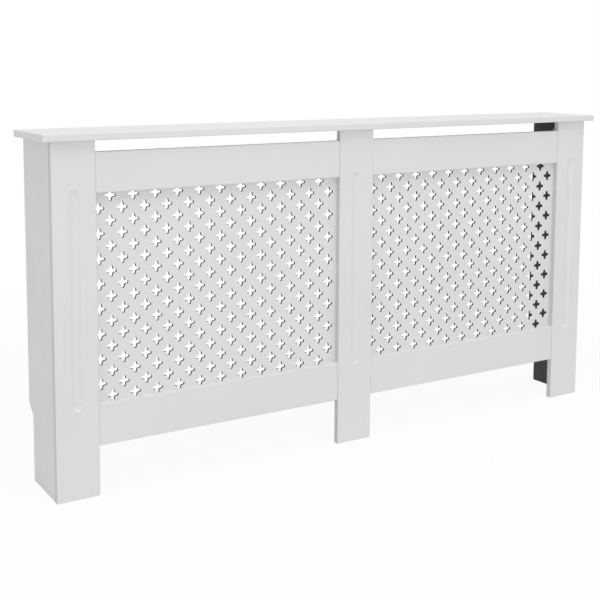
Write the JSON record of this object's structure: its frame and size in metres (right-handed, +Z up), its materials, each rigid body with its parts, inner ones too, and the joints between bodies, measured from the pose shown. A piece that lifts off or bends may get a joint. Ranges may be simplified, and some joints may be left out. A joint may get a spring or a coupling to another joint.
{
  "type": "radiator cover cabinet",
  "caption": "White freestanding radiator cover: a shelf on side panels and a fluted pilaster frame with pierced cross-pattern grille sheets, open at the back.",
  "frame": {"origin": "middle of the outline's base, on the floor", "axes": "+X along the shelf to the right as seen from the room, +Y from the room towards the wall, +Z up"},
  "size_m": [1.64, 0.2, 0.82],
  "materials": {
    "white_paint": "satin white paint on medium-density fibreboard",
    "beech_dowel": "plain turned beech",
    "zinc_hardware": "zinc plated"
  },
  "bodies": {
    "root": {"bracket_screw_left": "zinc_hardware", "bracket_screw_right": "zinc_hardware", "cam_bolt_frame_left_1": "zinc_hardware", "cam_bolt_frame_left_2": "zinc_hardware", "cam_bolt_frame_right_1": "zinc_hardware", "cam_bolt_frame_right_2": "zinc_hardware", "cam_bolt_shelf_left_1": "zinc_hardware", "cam_bolt_shelf_left_2": "zinc_hardware", "cam_bolt_shelf_right_1": "zinc_hardware", "cam_bolt_shelf_right_2": "zinc_hardware", "cam_frame_left_1": "zinc_hardware", "cam_frame_left_2": "zinc_hardware", "cam_frame_right_1": "zinc_hardware", "cam_frame_right_2": "zinc_hardware", "cam_shelf_left_1": "zinc_hardware", "cam_shelf_left_2": "zinc_hardware", "cam_shelf_right_1": "zinc_hardware", "cam_shelf_right_2": "zinc_hardware", "dowel_lower_rail_left_1a": "beech_dowel", "dowel_lower_rail_left_1b": "beech_dowel", "dowel_lower_rail_left_2a": "beech_dowel", "dowel_lower_rail_left_2b": "beech_dowel", "dowel_lower_rail_right_1a": "beech_dowel", "dowel_lower_rail_right_1b": "beech_dowel", "dowel_lower_rail_right_2a": "beech_dowel", "dowel_lower_rail_right_2b": "beech_dowel", "dowel_shelf_1": "beech_dowel", "dowel_shelf_2": "beech_dowel", "dowel_upper_rail_left_1a": "beech_dowel", "dowel_upper_rail_left_1b": "beech_dowel", "dowel_upper_rail_left_2a": "beech_dowel", "dowel_upper_rail_left_2b": "beech_dowel", "dowel_upper_rail_right_1a": "beech_dowel", "dowel_upper_rail_right_1b": "beech_dowel", "dowel_upper_rail_right_2a": "beech_dowel", "dowel_upper_rail_right_2b": "beech_dowel", "grille_left": "white_paint", "grille_right": "white_paint", "grille_screw_left_1a": "zinc_hardware", "grille_screw_left_1b": "zinc_hardware", "grille_screw_left_2a": "zinc_hardware", "grille_screw_left_2b": "zinc_hardware", "grille_screw_right_1a": "zinc_hardware", "grille_screw_right_1b": "zinc_hardware", "grille_screw_right_2a": "zinc_hardware", "grille_screw_right_2b": "zinc_hardware", "lower_rail_left": "white_paint", "lower_rail_right": "white_paint", "pilaster_centre": "white_paint", "pilaster_left": "white_paint", "pilaster_right": "white_paint", "side_panel_left": "white_paint", "side_panel_right": "white_paint", "top_shelf": "white_paint", "upper_rail_left": "white_paint", "upper_rail_right": "white_paint", "wall_bracket_left": "zinc_hardware", "wall_bracket_right": "zinc_hardware"}
  },
  "joints": []
}
